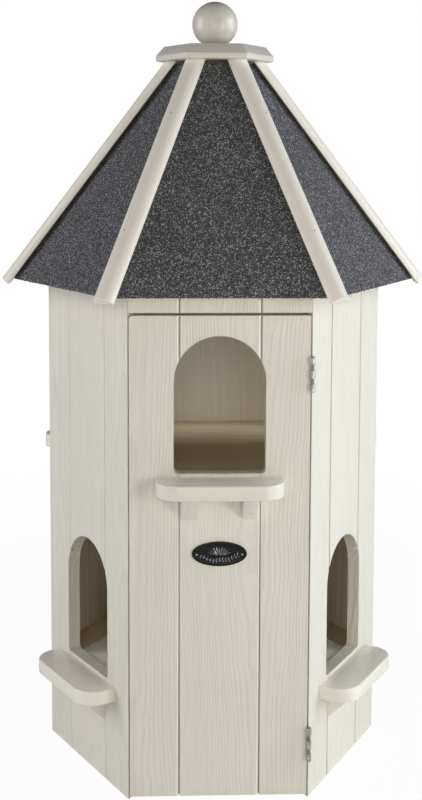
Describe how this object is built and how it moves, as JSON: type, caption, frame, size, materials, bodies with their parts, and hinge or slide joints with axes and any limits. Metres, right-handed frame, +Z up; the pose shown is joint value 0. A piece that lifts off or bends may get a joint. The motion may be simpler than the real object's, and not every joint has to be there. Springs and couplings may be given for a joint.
{
  "type": "dovecote",
  "caption": "Hexagonal garden dovecote of painted boards, with arched entrances on two levels, perches, a hinged front door and a steep felted roof with a ball finial.",
  "frame": {"origin": "centre of the body's hexagonal footprint, on the ground", "axes": "+Z up; the front door faces -Y; the door's hinges are on the +X side"},
  "size_m": [0.5408, 0.4726, 0.9492],
  "materials": {
    "paint": "off-white satin paint over pine, grain showing",
    "inside_paint": "thinner off-white paint over pine",
    "plywood": "bare softwood board",
    "roofing_felt": "dark grey mineral granules on bitumen felt, matt",
    "hinge_steel": "zinc-plated steel",
    "plaque": "blackened cast metal with a worn bright rim"
  },
  "bodies": {
    "house": {"front_header": "paint", "lower_floor": "inside_paint", "upper_floor": "inside_paint", "front_right_wall": "paint", "back_right_wall": "paint", "back_wall": "paint", "back_left_wall": "paint", "front_left_wall": "paint", "front_right_perch": "paint", "back_right_perch": "paint", "back_perch": "paint", "back_left_perch": "paint", "front_left_perch": "paint", "front_right_brackets": "paint", "back_right_brackets": "paint", "back_brackets": "paint", "back_left_brackets": "paint", "front_left_brackets": "paint", "front_roof_board": "plywood", "front_right_roof_board": "plywood", "back_right_roof_board": "plywood", "back_roof_board": "plywood", "back_left_roof_board": "plywood", "front_left_roof_board": "plywood", "front_felt": "roofing_felt", "front_right_felt": "roofing_felt", "back_right_felt": "roofing_felt", "back_felt": "roofing_felt", "back_left_felt": "roofing_felt", "front_left_felt": "roofing_felt", "front_right_batten": "paint", "right_batten": "paint", "back_right_batten": "paint", "back_left_batten": "paint", "left_batten": "paint", "front_left_batten": "paint", "roof_cap": "paint", "ball_finial": "paint", "hinge_frame_leaves": "hinge_steel"},
    "door": {"door_panel": "paint", "door_perch": "paint", "door_brackets": "paint", "door_plaque": "plaque", "hinge_door_leaves": "hinge_steel"}
  },
  "joints": [
    {"name": "door_hinge", "type": "hinge", "parent": "house", "child": "door", "pos_m": [0.10642, -0.18682, 0.2865], "axis": [0, 0, 1], "range_deg": [0, 180]}
  ]
}
